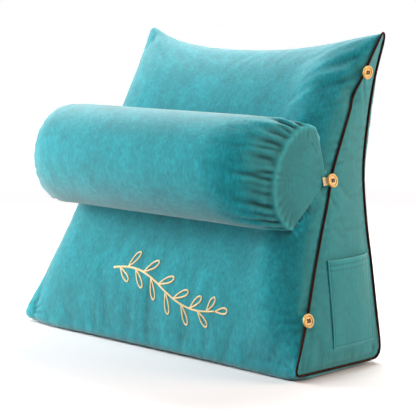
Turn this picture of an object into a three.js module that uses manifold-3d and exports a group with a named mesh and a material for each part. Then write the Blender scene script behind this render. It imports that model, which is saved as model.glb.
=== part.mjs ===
// A wedge reading pillow with a neck roll that hangs by elastic loops from its side buttons.
// Millimetres, +Z up. The front faces -Y, and the origin is on the floor under the middle of the base.

import * as THREE from "three";
import { mergeVertices } from "three/addons/utils/BufferGeometryUtils.js";
import Module from "manifold-3d";

const wasm = await Module();
wasm.setup();

// The front and back slopes, seen from the side: where each piped seam starts and ends.
const FRONT_FOOT = { y: -94, z: 13 };
const FRONT_HEAD = { y: 158, z: 484 };
const BACK_FOOT = { y: 94, z: 13 };
const BACK_HEAD = { y: 173, z: 479 };

// Up the front seam: half the pillow's width, how far the middle stands out, and how far it sags.
const FRONT_ROWS = [
  { along: 14, halfWidth: 296, crown: 3, sag: 0 },
  { along: 45, halfWidth: 291, crown: 19, sag: 0 },
  { along: 93, halfWidth: 282, crown: 37, sag: 0 },
  { along: 151, halfWidth: 269.5, crown: 43, sag: 0 },
  { along: 215, halfWidth: 257.5, crown: 46, sag: 0 },
  { along: 263, halfWidth: 249.5, crown: 46, sag: 0 },
  { along: 300, halfWidth: 240.5, crown: 45, sag: 0 },
  { along: 345, halfWidth: 237, crown: 44, sag: 1 },
  { along: 390, halfWidth: 234.5, crown: 42, sag: 5 },
  { along: 436, halfWidth: 233.5, crown: 38, sag: 12 },
  { along: 480, halfWidth: 237, crown: 30, sag: 24 },
  { along: 521, halfWidth: 242, crown: 17, sag: 36 },
];

// Up the back seam, in the same way.
const BACK_ROWS = [
  { along: 13, halfWidth: 296, crown: 8, sag: 0 },
  { along: 52, halfWidth: 285, crown: 17, sag: 0 },
  { along: 129, halfWidth: 263, crown: 25, sag: 0 },
  { along: 195, halfWidth: 243, crown: 29, sag: 0 },
  { along: 270, halfWidth: 226.5, crown: 35, sag: 0 },
  { along: 340, halfWidth: 224, crown: 40, sag: 3 },
  { along: 408, halfWidth: 227, crown: 34, sag: 14 },
  { along: 466, halfWidth: 236, crown: 18, sag: 34 },
];

// On the left the front wraps round the edge and hides its seam: how much further out the edge lies
// than on the right, and how far back its front seam, by height.
const LEFT_ROWS = [
  { z: 8, wider: 17, setBack: 20 },
  { z: 40, wider: 11, setBack: 18 },
  { z: 83, wider: 0, setBack: 14 },
  { z: 200, wider: 2, setBack: 14 },
  { z: 390, wider: 15, setBack: 14 },
  { z: 470, wider: 15, setBack: 12 },
  { z: 495, wider: 10, setBack: 8 },
];

// The stretches between the slopes: the seam's point, and how the middle swells and sags from it.
const CORNERS = {
  baseFront: { x: 297.5, y: -84, z: 10.5, swellY: 0, swellZ: -21, sagY: 0, sagZ: 13 },
  toe: { x: 298, y: -97.5, z: 9, swellY: 0, swellZ: -12, sagY: 0, sagZ: 8.5 },
  heel: { x: 298, y: 95, z: 6, swellY: 8, swellZ: -9, sagY: 0, sagZ: 0 },
  baseBack: { x: 297.5, y: 72, z: 9, swellY: 0, swellZ: -15, sagY: 0, sagZ: 0 },
  ridge: { x: 244.5, y: 165.5, z: 496, swellY: 0, swellZ: 4, sagY: -9, sagZ: -33 },
};
const BASE_MANNER = { flatness: 8, spread: 4 };
const HEEL_MANNER = { flatness: 4, spread: 4 };
const SLOPE_MANNER = { flatness: 8, spread: 2 };
const BASE_FRONT = { ...CORNERS.baseFront, ...BASE_MANNER, leftBack: 1 };
const TOE = { ...CORNERS.toe, ...BASE_MANNER, leftBack: 1 };
const HEEL = { ...CORNERS.heel, ...HEEL_MANNER, leftBack: 0 };
const BASE_BACK = { ...CORNERS.baseBack, ...HEEL_MANNER, leftBack: 0 };
const RIDGE = { ...CORNERS.ridge, ...SLOPE_MANNER, leftBack: 0.4 };
const SIDES_FROM = 26; // height at which both slopes start
const SIDES_TO = 472; // height at which both slopes end

// The way a panel swells from its seam to its middle, and how the side gussets swell.
const CROWN_STEEPNESS = 0.5;
const LEFT_SPREAD = 1; // how much more quickly the left side sags from its corner
const GUSSET_SWELL = 9;
const GUSSET_SWELL_RISE = 60; // height over which the swell grows from the base seam

// The front left corner is pulled up off the floor, from these distances to the left, front and top.
const CORNER_LIFT = 3;
const LIFT_LEFT = { from: 225, to: 295 };
const LIFT_FRONT = { from: 30, to: 92 };
const LIFT_UP = { from: 10, to: 75 };

// Steps of the wedge's mesh.
const HEIGHT_STEPS = 26;
const CORNER_STEPS = 3;
const DEPTH_STEPS = 6;
const WIDTH_STEPS = 24;

const PIPING_RADIUS = 1.9;
const PIPING_SIDES = 6;
const BESIDE_SEAM = 0.985; // a place on the panel just inside its seam, as a share of half the width
const SEWN_GAP = 0.35; // between two pieces that are sewn together

// Along the neck roll, which has slid a little to the left: its section's middle and half sizes,
// how far the section's top leans back, and how far its top and bottom bow back.
const ROLL_ROWS = [
  { x: -246, y: -43, z: 281, halfDepth: 55, halfHeight: 71, lean: 7, bow: 6 },
  { x: -237, y: -54, z: 284, halfDepth: 66, halfHeight: 76.5, lean: 4, bow: 3 },
  { x: -219, y: -62, z: 288, halfDepth: 73, halfHeight: 79.5, lean: 0, bow: 0 },
  { x: -184, y: -69, z: 290.5, halfDepth: 76, halfHeight: 80, lean: 0, bow: 0 },
  { x: 0, y: -74, z: 291, halfDepth: 76, halfHeight: 80, lean: 0, bow: 0 },
  { x: 160, y: -67, z: 289.5, halfDepth: 76, halfHeight: 80.5, lean: 0, bow: 0 },
  { x: 198, y: -58, z: 287.5, halfDepth: 72, halfHeight: 80.5, lean: 3, bow: 1 },
  { x: 221, y: -43, z: 284, halfDepth: 61, halfHeight: 80, lean: 8, bow: 6 },
  { x: 236, y: -23, z: 279, halfDepth: 48, halfHeight: 77, lean: 12, bow: 13 },
];
const ROLL_STATIONS = [
  ...[-246, -242, -235, -225, -211, -194, -174, -145, -100, -50],
  ...[0, 50, 100, 140, 165, 185, 202, 215, 225, 232, 236],
];
const ROLL_CAP_STEPS = [0, 0.15, 0.4, 0.7, 1]; // shares of the way from the end seam to its tip
const ROLL_SIDES = 64;
const ROLL_CLEARANCE = 1;
const GATHERS = 16;
const GATHER_DEPTH = 3;
const GATHER_UNEVENNESS = 0.25;
const GATHER_REACH = 60; // how far the gathers run in from each end
const TIP_RADIUS = 5;
const TIP_INSET = 5; // how far the tip's middle lies behind the end of the elastic
const TIP_GAP = 0.8; // between the end of the roll and the elastic on it
const END_SWELL = 0.8;

// The pocket on the right gusset, seen from the side.
const POCKET_MOUTH = { frontY: 5, backY: 109, z: 160.5 };
const POCKET_FOOT = { frontY: -15.5, backY: 81, z: 37 };
const POCKET_THICKNESS = 2.4;
const POCKET_GAPE = 7; // how far its mouth stands off the gusset in the middle
const POCKET_GAP = 0.6; // between the gusset and the pocket's sewn edges
const POCKET_COLUMNS = 10;
const POCKET_ROWS = 8;

// The buttons: where each sits up the front seam, how far it leans to the front, and its turn.
const BUTTON_ROWS = [
  { place: "bottom", along: 79, forward: 3, leftForward: -1, turn: 7.5, neck: 1.7 },
  { place: "middle", along: 292, forward: 4.5, leftForward: 4.5, turn: 7.5, neck: 3.2 },
  { place: "top", along: 470, forward: 0, leftForward: -3, turn: -1, neck: 1.7 },
];
const BUTTON_RADIUS = 10.2;
const BUTTON_THICKNESS = 3.4;
const BUTTON_DISH = 1.1;
const BUTTON_PROFILE = [
  { radius: 0, height: 0 },
  { radius: BUTTON_RADIUS - 2, height: 0 },
  { radius: BUTTON_RADIUS - 0.4, height: 0.9 },
  { radius: BUTTON_RADIUS, height: 1.8 },
  { radius: BUTTON_RADIUS - 0.5, height: BUTTON_THICKNESS - 0.4 },
  { radius: BUTTON_RADIUS - 1.4, height: BUTTON_THICKNESS },
  { radius: BUTTON_RADIUS - 2.4, height: BUTTON_THICKNESS - 0.2 },
  { radius: BUTTON_RADIUS - 3.2, height: BUTTON_THICKNESS - BUTTON_DISH },
  { radius: 0, height: BUTTON_THICKNESS - BUTTON_DISH },
];
const HOLE_RADIUS = 1.15;
const HOLE_OFFSET = 2.1;
const THREAD_RADIUS = 0.7;
const NECK_RADIUS = 2;
const SADDLE_THICKNESS = 0.5; // the turns of thread right under the button

// The elastic loop round the middle button's neck.
const LOOP_WIDTH = 12;
const LOOP_SLOT = 5;
const LOOP_THICKNESS = 1.5;
const LOOP_REACH = 17; // from the button's middle to the end of the neck roll

const COLOURS = { velvet: 0x3f9eaa, piping: 0x3a1a10, wood: 0xf2c06a, thread: 0x3a2418, elastic: 0xf3d9a0 };

function mix(a, b, t) {
  return a + (b - a) * t;
}

function ramp(value, from, to) {
  const t = Math.min(Math.max((value - from) / (to - from), 0), 1);
  return t * t * (3 - 2 * t);
}

// One slope of the wedge, seen from the side: a point so far up it and so far out of it.
function slope(foot, head, outward) {
  const length = Math.hypot(head.y - foot.y, head.z - foot.z);
  const up = { y: (head.y - foot.y) / length, z: (head.z - foot.z) / length };
  const out = { y: outward * up.z, z: -outward * up.y };
  return {
    up,
    out,
    point: (along, distance) => ({
      y: foot.y + up.y * along + out.y * distance,
      z: foot.z + up.z * along + out.z * distance,
    }),
    alongAt: (height) => (height - foot.z) / up.z,
  };
}

const front = slope(FRONT_FOOT, FRONT_HEAD, -1);
const back = slope(BACK_FOOT, BACK_HEAD, 1);

// A table's columns at a place between its rows, on a smooth curve through them.
function readRows(rows, key, place) {
  const last = rows.length - 1;
  const found = rows.findIndex((row) => row[key] > place);
  const i = found < 0 ? last : Math.max(found, 1);
  const [a, b] = [rows[i - 1], rows[i]];
  const before = rows[Math.max(i - 2, 0)];
  const after = rows[Math.min(i + 1, last)];
  const span = b[key] - a[key];
  const t = Math.min(Math.max((place - a[key]) / span, 0), 1);
  const read = {};
  for (const column of Object.keys(a)) {
    const leaving = ((b[column] - before[column]) / (b[key] - before[key])) * span;
    const arriving = ((after[column] - a[column]) / (after[key] - a[key])) * span;
    const bend = leaving * t * (1 - t) ** 2 - arriving * t * t * (1 - t);
    read[column] = mix(a[column], b[column], t * t * (3 - 2 * t)) + bend;
  }
  return read;
}

// A station of the wedge: the right seam's point, and how the middle swells and sags from it.
function slopeStation(side, rows, height) {
  const along = side.alongAt(height);
  const row = readRows(rows, "along", along);
  const seam = side.point(along, 0);
  return {
    x: row.halfWidth,
    y: seam.y,
    z: seam.z,
    swellY: side.out.y * row.crown,
    swellZ: side.out.z * row.crown,
    sagY: -side.up.y * row.sag,
    sagZ: -side.up.z * row.sag,
    ...SLOPE_MANNER,
    leftBack: side === front ? 1 : 0,
  };
}

function mixStations(a, b, t) {
  return Object.fromEntries(Object.keys(a).map((key) => [key, mix(a[key], b[key], t)]));
}

// Stations round a soft corner, from one to another by way of the corner's own.
function roundCorner(from, corner, to, steps) {
  return Array.from({ length: steps + 1 }, (_, i) => {
    const t = i / steps;
    return mixStations(mixStations(from, corner, t), mixStations(corner, to, t), t);
  });
}

function risingColumn(start, corner, side, rows) {
  const heights = Array.from({ length: HEIGHT_STEPS + 1 }, (_, i) =>
    mix(SIDES_FROM, SIDES_TO, i / HEIGHT_STEPS),
  );
  const stations = heights.map((height) => slopeStation(side, rows, height));
  return [...roundCorner(start, corner, stations[0], CORNER_STEPS), ...stations.slice(1)];
}

const frontColumn = risingColumn(BASE_FRONT, TOE, front, FRONT_ROWS);
const backColumn = risingColumn(BASE_BACK, HEEL, back, BACK_ROWS);
const ridgeRow = roundCorner(frontColumn.at(-1), RIDGE, backColumn.at(-1), DEPTH_STEPS);
const baseRow = Array.from({ length: DEPTH_STEPS + 1 }, (_, i) =>
  mixStations(BASE_FRONT, BASE_BACK, i / DEPTH_STEPS),
);
const ring = [
  ...frontColumn,
  ...ridgeRow.slice(1, -1),
  ...backColumn.toReversed(),
  ...baseRow.slice(1, -1).toReversed(),
];

// How much of its crown a panel has at a place across it, from 0 at a seam to 1 in the middle.
function swell(across, flatness) {
  return (1 - Math.min(Math.abs(across), 1) ** flatness) ** CROWN_STEEPNESS;
}

// Half the pillow's width at a station, on the side that a place across it is on.
function halfWidth(station, across) {
  return station.x + (across < 0 ? readRows(LEFT_ROWS, "z", station.z).wider : 0);
}

// The front left corner is pulled up by its seams.
function liftCorner(point) {
  const sideways = ramp(-point.x, LIFT_LEFT.from, LIFT_LEFT.to);
  const forwards = ramp(-point.y, LIFT_FRONT.from, LIFT_FRONT.to);
  const upwards = 1 - ramp(point.z, LIFT_UP.from, LIFT_UP.to);
  return point.setZ(point.z + CORNER_LIFT * sideways * forwards * upwards);
}

function panelPoint(station, across) {
  const share = swell(across, station.flatness);
  const sag = 1 - Math.abs(across) ** (station.spread + (across < 0 ? LEFT_SPREAD : 0));
  const setBack = across < 0 ? station.leftBack * readRows(LEFT_ROWS, "z", station.z).setBack : 0;
  const y = station.y + setBack * (1 - share) + station.swellY * share + station.sagY * sag;
  const z = station.z + station.swellZ * share + station.sagZ * sag;
  return liftCorner(new THREE.Vector3(halfWidth(station, across) * across, y, Math.max(z, 0)));
}

// How far a gusset swells out of the plane of its seams, at a share of the way from front to back.
function gussetSwell(t, z, depth) {
  const rise = Math.min(Math.max((z - BASE_FRONT.z) / GUSSET_SWELL_RISE, 0), 1);
  const share = (1 - (2 * t - 1) ** 4) * (1 - (1 - rise) ** 3);
  return (GUSSET_SWELL * share * depth) / (BACK_FOOT.y - FRONT_FOOT.y);
}

// How far the right gusset lies from the pillow's middle, at a place seen from the side.
function gussetX(y, z) {
  const near = slopeStation(front, FRONT_ROWS, z);
  const far = slopeStation(back, BACK_ROWS, z);
  const depth = far.y - near.y;
  const t = (y - near.y) / depth;
  return mix(near.x, far.x, t) + gussetSwell(t, z, depth);
}

// A mesh made of four-sided faces, given as grids of points.
class Faces {
  constructor() {
    this.positions = [];
  }
  triangle(a, b, c) {
    const flat = a.distanceTo(b) < 1e-6 || b.distanceTo(c) < 1e-6 || c.distanceTo(a) < 1e-6;
    if (!flat) this.positions.push(...a.toArray(), ...b.toArray(), ...c.toArray());
  }
  grid(rows, turned = false) {
    for (let i = 0; i + 1 < rows.length; i++)
      for (let j = 0; j + 1 < rows[i].length; j++) {
        const [a, b, c, d] = [rows[i][j], rows[i][j + 1], rows[i + 1][j + 1], rows[i + 1][j]];
        if (turned) {
          this.triangle(a, c, b);
          this.triangle(a, d, c);
        } else {
          this.triangle(a, b, c);
          this.triangle(a, c, d);
        }
      }
  }
  geometry() {
    const loose = new THREE.BufferGeometry();
    loose.setAttribute("position", new THREE.Float32BufferAttribute(this.positions, 3));
    const merged = mergeVertices(loose, 1e-3);
    merged.computeVertexNormals();
    return merged;
  }
}

function wedgeGeometry() {
  const faces = new Faces();
  const across = Array.from({ length: WIDTH_STEPS + 1 }, (_, j) =>
    Math.sin((Math.PI / 2) * mix(-1, 1, j / WIDTH_STEPS)),
  );
  const loop = [...ring, ring[0]];
  faces.grid(loop.map((station) => across.map((share) => panelPoint(station, share))));
  for (const hand of [1, -1]) {
    const rows = frontColumn.slice(1).map((station, k) => {
      const near = panelPoint(station, hand);
      const far = panelPoint(backColumn[k + 1], hand);
      return Array.from({ length: DEPTH_STEPS + 1 }, (_, i) => {
        const t = i / DEPTH_STEPS;
        const point = near.clone().lerp(far, t);
        return point.setX(point.x + hand * gussetSwell(t, point.z, far.y - near.y));
      });
    });
    const [foot, head] = [baseRow, ridgeRow].map((row) => row.map((station) => panelPoint(station, hand)));
    faces.grid([foot, ...rows, head], hand < 0);
  }
  return faces.geometry();
}

// The seam's point on one side, and the direction in which the piping lies outside it.
function pipingPoint(index, hand) {
  const at = (i) => panelPoint(ring[(i + ring.length) % ring.length], hand);
  const station = ring[index];
  const seam = at(index);
  const run = at(index + 1).sub(at(index - 1)).normalize();
  const onPanel = panelPoint(station, hand * BESIDE_SEAM).sub(seam);
  const panelNormal = run.clone().cross(onPanel).multiplyScalar(hand).normalize();
  const gussetNormal = new THREE.Vector3(hand, 0, 0);
  const outward = panelNormal.add(gussetNormal).normalize();
  outward.addScaledVector(run, -outward.dot(run)).normalize();
  return { centre: seam.addScaledVector(outward, PIPING_RADIUS + SEWN_GAP), run, outward };
}

function pipingGeometry(hand) {
  const faces = new Faces();
  const rows = [...ring, ring[0]].map((_, i) => {
    const { centre, run, outward } = pipingPoint(i % ring.length, hand);
    const sideways = run.clone().cross(outward).multiplyScalar(hand);
    return Array.from({ length: PIPING_SIDES + 1 }, (_, k) => {
      const angle = (2 * Math.PI * (k % PIPING_SIDES)) / PIPING_SIDES;
      return centre
        .clone()
        .addScaledVector(outward, PIPING_RADIUS * Math.cos(angle))
        .addScaledVector(sideways, PIPING_RADIUS * Math.sin(angle));
    });
  });
  faces.grid(rows, hand < 0);
  return faces.geometry();
}

// A point of the neck roll's skin, moved out to where it clears the wedge's front.
function seatOnFront(point) {
  const dy = point.y - FRONT_FOOT.y;
  const dz = point.z - FRONT_FOOT.z;
  const along = dy * front.up.y + dz * front.up.z;
  const out = dy * front.out.y + dz * front.out.z;
  const row = readRows(FRONT_ROWS, "along", along);
  const half = halfWidth({ x: row.halfWidth, z: front.point(along, 0).z }, point.x);
  const seat = row.crown * swell(point.x / half, SLOPE_MANNER.flatness) + ROLL_CLEARANCE;
  const seated = front.point(along, Math.max(out, seat));
  return new THREE.Vector3(point.x, seated.y, seated.z);
}

function rollRing(x) {
  const row = readRows(ROLL_ROWS, "x", x);
  const inside = Math.min(x - ROLL_ROWS[0].x, ROLL_ROWS.at(-1).x - x);
  const gathered = 1 - ramp(inside, 0, GATHER_REACH);
  return Array.from({ length: ROLL_SIDES + 1 }, (_, k) => {
    const angle = (2 * Math.PI * (k % ROLL_SIDES)) / ROLL_SIDES;
    const wave = 0.5 - 0.5 * Math.cos(GATHERS * angle);
    const uneven = 1 - GATHER_UNEVENNESS * (1 - Math.sin(5 * angle + 1));
    const shrink = GATHER_DEPTH * gathered * wave * uneven;
    const rise = Math.sin(angle);
    const y = row.y - (row.halfDepth - shrink) * Math.cos(angle) + row.lean * rise + row.bow * rise ** 2;
    return seatOnFront(new THREE.Vector3(x, y, row.z + (row.halfHeight - shrink) * rise));
  });
}

function forwardOf(row, hand) {
  return hand > 0 ? row.forward : row.leftForward;
}

// The frame of a button: +Z out of its face, +Y up, and its place on the piping. The left side's
// frame is given as if it were on the right, and is mirrored with its pieces.
function buttonFrame(row, hand) {
  const { along, turn, neck } = row;
  const height = front.point(along, 0).z;
  const share = ((height - SIDES_FROM) / (SIDES_TO - SIDES_FROM)) * HEIGHT_STEPS + CORNER_STEPS;
  const mirrored = new THREE.Vector3(hand, 1, 1);
  const [below, above] = [Math.floor(share), Math.ceil(share)].map((i) =>
    pipingPoint(i, hand).centre.multiply(mirrored),
  );
  const run = above.clone().sub(below).normalize();
  const angle = THREE.MathUtils.degToRad(turn);
  const face = new THREE.Vector3(Math.cos(angle), -Math.sin(angle), 0);
  face.addScaledVector(run, -face.dot(run)).normalize();
  const up = new THREE.Vector3(0, 0, 1).addScaledVector(face, -face.z).normalize();
  const rear = up.clone().cross(face);
  const origin = below.lerp(above, share % 1);
  origin.addScaledVector(face, PIPING_RADIUS + SEWN_GAP + neck);
  origin.addScaledVector(rear, -forwardOf(row, hand));
  return new THREE.Matrix4().makeBasis(rear, up, face).setPosition(origin);
}

// Where the end of the neck roll meets the elastic loop, in the middle button's frame.
const middleButton = BUTTON_ROWS.find((row) => row.place === "middle");
const loopFloor = -SEWN_GAP - SADDLE_THICKNESS - SEWN_GAP - LOOP_THICKNESS;

function tipPoint(radius, angle, hand) {
  const point = new THREE.Vector3(
    -LOOP_REACH + TIP_INSET - radius * Math.cos(angle),
    radius * Math.sin(angle),
    loopFloor - TIP_GAP,
  );
  point.applyMatrix4(buttonFrame(middleButton, hand));
  return point.setX(hand * point.x);
}

function rollGeometry() {
  const faces = new Faces();
  const rings = ROLL_STATIONS.map(rollRing);
  faces.grid(rings, true);
  for (const hand of [1, -1]) {
    const edge = hand > 0 ? rings.at(-1) : rings[0];
    const rows = ROLL_CAP_STEPS.map((share) =>
      edge.map((point, k) => {
        const angle = (2 * Math.PI * (k % ROLL_SIDES)) / ROLL_SIDES;
        const bulge = hand * END_SWELL * 6 * share * (1 - share) ** 2;
        const place = point.clone().lerp(tipPoint(TIP_RADIUS, angle, hand), share);
        return seatOnFront(place.setX(place.x + bulge));
      }),
    );
    rows.push(edge.map(() => tipPoint(0, 0, hand)));
    faces.grid(rows, hand > 0);
  }
  return faces.geometry();
}

// The pocket is a sheet on the gusset, sewn round three edges and standing open at its mouth.
function pocketGeometry() {
  const faces = new Faces();
  const sheet = (offset) =>
    Array.from({ length: POCKET_ROWS + 1 }, (_, i) => {
      const rise = i / POCKET_ROWS;
      return Array.from({ length: POCKET_COLUMNS + 1 }, (_, j) => {
        const t = j / POCKET_COLUMNS;
        const frontY = mix(POCKET_FOOT.frontY, POCKET_MOUTH.frontY, rise);
        const backY = mix(POCKET_FOOT.backY, POCKET_MOUTH.backY, rise);
        const y = mix(frontY, backY, t);
        const z = mix(POCKET_FOOT.z, POCKET_MOUTH.z, rise);
        const gape = POCKET_GAPE * rise ** 1.5 * Math.sin(Math.PI * t) ** 0.8;
        return new THREE.Vector3(gussetX(y, z) + POCKET_GAP + gape + offset, y, z);
      });
    });
  const inner = sheet(0);
  const outer = sheet(POCKET_THICKNESS);
  const last = POCKET_COLUMNS;
  faces.grid(outer);
  faces.grid(inner, true);
  faces.grid([inner[0], outer[0]]);
  faces.grid([outer.at(-1), inner.at(-1)]);
  faces.grid([inner.map((row) => row[0]), outer.map((row) => row[0])], true);
  faces.grid([inner.map((row) => row[last]), outer.map((row) => row[last])]);
  return faces.geometry();
}

// A closed geometry as a solid that can be joined and cut, and the way back.
function toSolid(geometry) {
  const bare = geometry.index ? geometry.toNonIndexed() : geometry;
  const only = new THREE.BufferGeometry().setAttribute("position", bare.getAttribute("position"));
  const merged = mergeVertices(only, 1e-4);
  const corners = [];
  for (let i = 0; i < merged.index.count; i += 3) {
    const [a, b, c] = merged.index.array.slice(i, i + 3);
    if (a !== b && b !== c && c !== a) corners.push(a, b, c);
  }
  const vertProperties = merged.getAttribute("position").array;
  return new wasm.Manifold(
    new wasm.Mesh({ numProp: 3, vertProperties, triVerts: new Uint32Array(corners) }),
  );
}

function fromSolid(solid) {
  const { vertProperties, triVerts } = solid.getMesh();
  const geometry = new THREE.BufferGeometry();
  geometry.setAttribute("position", new THREE.BufferAttribute(vertProperties, 3));
  geometry.setIndex(new THREE.BufferAttribute(triVerts, 1));
  geometry.computeVertexNormals();
  return geometry;
}

// A short rod along Z between two heights.
function rod(radius, from, to, sides) {
  return new THREE.CylinderGeometry(radius, radius, to - from, sides)
    .rotateX(Math.PI / 2)
    .translate(0, 0, (from + to) / 2);
}

const holePlaces = [-1, 1].flatMap((i) => [-1, 1].map((j) => [i * HOLE_OFFSET, j * HOLE_OFFSET]));

// A turned wooden button: a dished face inside a round rim, and four holes.
function buttonGeometry() {
  const profile = BUTTON_PROFILE.map(({ radius, height }) => new THREE.Vector2(radius, height));
  let button = toSolid(new THREE.LatheGeometry(profile, 18).rotateX(Math.PI / 2));
  for (const [x, y] of holePlaces) {
    const hole = rod(HOLE_RADIUS, -1, BUTTON_THICKNESS + 1, 6).translate(x, y, 0);
    button = button.subtract(toSolid(hole));
  }
  return fromSolid(button);
}

// The thread: two bars on the face, four strands through the holes, and a wound neck below.
function threadGeometry(neck, forward) {
  const face = BUTTON_THICKNESS - BUTTON_DISH + SEWN_GAP;
  const saddleTop = -SEWN_GAP;
  const saddleFloor = saddleTop - SADDLE_THICKNESS;
  const foot = rod(NECK_RADIUS, -neck, saddleFloor + 0.1, 8);
  const positions = foot.getAttribute("position");
  for (let i = 0; i < positions.count; i++) {
    const share = (positions.getZ(i) - saddleFloor) / (-neck - saddleFloor);
    positions.setX(i, positions.getX(i) + forward * Math.max(share, 0));
  }
  const saddleRadius = HOLE_OFFSET * Math.SQRT2 + THREAD_RADIUS;
  let thread = toSolid(foot).add(toSolid(rod(saddleRadius, saddleFloor, saddleTop, 12)));
  for (const [x, y] of holePlaces) {
    const strand = rod(THREAD_RADIUS, saddleFloor + 0.1, face + THREAD_RADIUS, 6).translate(x, y, 0);
    thread = thread.add(toSolid(strand));
  }
  for (const x of [-HOLE_OFFSET, HOLE_OFFSET]) {
    const length = 2 * (HOLE_OFFSET + THREAD_RADIUS);
    const bar = new THREE.BoxGeometry(2 * THREAD_RADIUS, length, 1.5 * THREAD_RADIUS);
    bar.translate(x, 0, face + 0.75 * THREAD_RADIUS);
    thread = thread.add(toSolid(bar));
  }
  return fromSolid(thread);
}

// The elastic: two flat strands that part round the button's neck and join at the roll.
function loopGeometry() {
  const rear = middleButton.forward + 1;
  const outline = new THREE.Shape();
  outline.moveTo(-LOOP_REACH, -LOOP_WIDTH / 2);
  outline.lineTo(rear, -LOOP_WIDTH / 2);
  outline.absarc(rear, 0, LOOP_WIDTH / 2, -Math.PI / 2, Math.PI / 2, false);
  outline.lineTo(-LOOP_REACH, LOOP_WIDTH / 2);
  outline.closePath();
  const slot = new THREE.Path();
  const slotFront = -NECK_RADIUS - SEWN_GAP;
  slot.moveTo(slotFront, LOOP_SLOT / 2);
  slot.lineTo(rear, LOOP_SLOT / 2);
  slot.absarc(rear, 0, LOOP_SLOT / 2, Math.PI / 2, -Math.PI / 2, true);
  slot.lineTo(slotFront, -LOOP_SLOT / 2);
  slot.closePath();
  outline.holes.push(slot);
  const options = { depth: LOOP_THICKNESS, bevelEnabled: false, curveSegments: 6 };
  return new THREE.ExtrudeGeometry(outline, options).translate(0, 0, loopFloor);
}

const finishes = Object.fromEntries(
  Object.entries({
    velvet: [0.9, 0],
    piping: [0.75, 0],
    wood: [0.5, 0],
    thread: [0.8, 0],
    elastic: [0.85, 0],
  }).map(([name, [roughness, metalness]]) => [name, { color: COLOURS[name], roughness, metalness }]),
);

function piece(name, geometry, finish) {
  const mesh = new THREE.Mesh(geometry, new THREE.MeshStandardMaterial(finishes[finish]));
  mesh.name = name;
  return mesh;
}

// The buttons, their thread and the elastic of one side, made for the right and mirrored for the left.
function fastenings(side, hand) {
  const group = new THREE.Group();
  for (const row of BUTTON_ROWS) {
    const spot = new THREE.Group();
    spot.applyMatrix4(buttonFrame(row, hand));
    spot.add(piece(`button_${side}_${row.place}`, buttonGeometry(), "wood"));
    const thread = threadGeometry(row.neck, forwardOf(row, hand));
    spot.add(piece(`thread_${side}_${row.place}`, thread, "thread"));
    if (row === middleButton) spot.add(piece(`loop_${side}`, loopGeometry(), "elastic"));
    group.add(spot);
  }
  group.scale.x = hand;
  return group;
}

const pillow = new THREE.Group();
pillow.name = "wedge_reading_pillow";
pillow.add(piece("wedge_cushion", wedgeGeometry(), "velvet"));
pillow.add(piece("neck_roll", rollGeometry(), "velvet"));
pillow.add(piece("piping_right", pipingGeometry(1), "piping"));
pillow.add(piece("piping_left", pipingGeometry(-1), "piping"));
pillow.add(piece("pocket", pocketGeometry(), "velvet"));
pillow.add(fastenings("right", 1));
pillow.add(fastenings("left", -1));

export default pillow;
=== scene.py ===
"""A wedge reading pillow with a neck roll on buttons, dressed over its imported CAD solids."""

import math

import bpy
import numpy as np
from mathutils import Matrix, Vector
from mathutils.bvhtree import BVHTree
from mathutils.kdtree import KDTree


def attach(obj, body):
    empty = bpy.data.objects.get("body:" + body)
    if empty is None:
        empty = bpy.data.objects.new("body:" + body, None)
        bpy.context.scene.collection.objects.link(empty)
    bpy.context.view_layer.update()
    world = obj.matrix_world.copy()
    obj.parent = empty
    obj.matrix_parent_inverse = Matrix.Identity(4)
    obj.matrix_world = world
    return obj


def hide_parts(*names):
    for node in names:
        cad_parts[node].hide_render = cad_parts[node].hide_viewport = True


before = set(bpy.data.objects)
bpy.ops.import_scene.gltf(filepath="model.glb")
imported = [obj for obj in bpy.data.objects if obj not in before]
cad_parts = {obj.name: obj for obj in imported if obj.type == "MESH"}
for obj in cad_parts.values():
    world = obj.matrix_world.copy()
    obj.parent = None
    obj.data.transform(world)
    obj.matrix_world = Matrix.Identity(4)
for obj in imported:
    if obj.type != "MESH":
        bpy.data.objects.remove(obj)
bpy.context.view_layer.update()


# ---------------------------------------------------------------------------
# Wedge cushion. A sewn velvet cover of five panels, stuffed with loose fibre until its slope
# and back crown out. The seams are shorter than the cloth beside them, so it puckers there.
# ---------------------------------------------------------------------------

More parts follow.
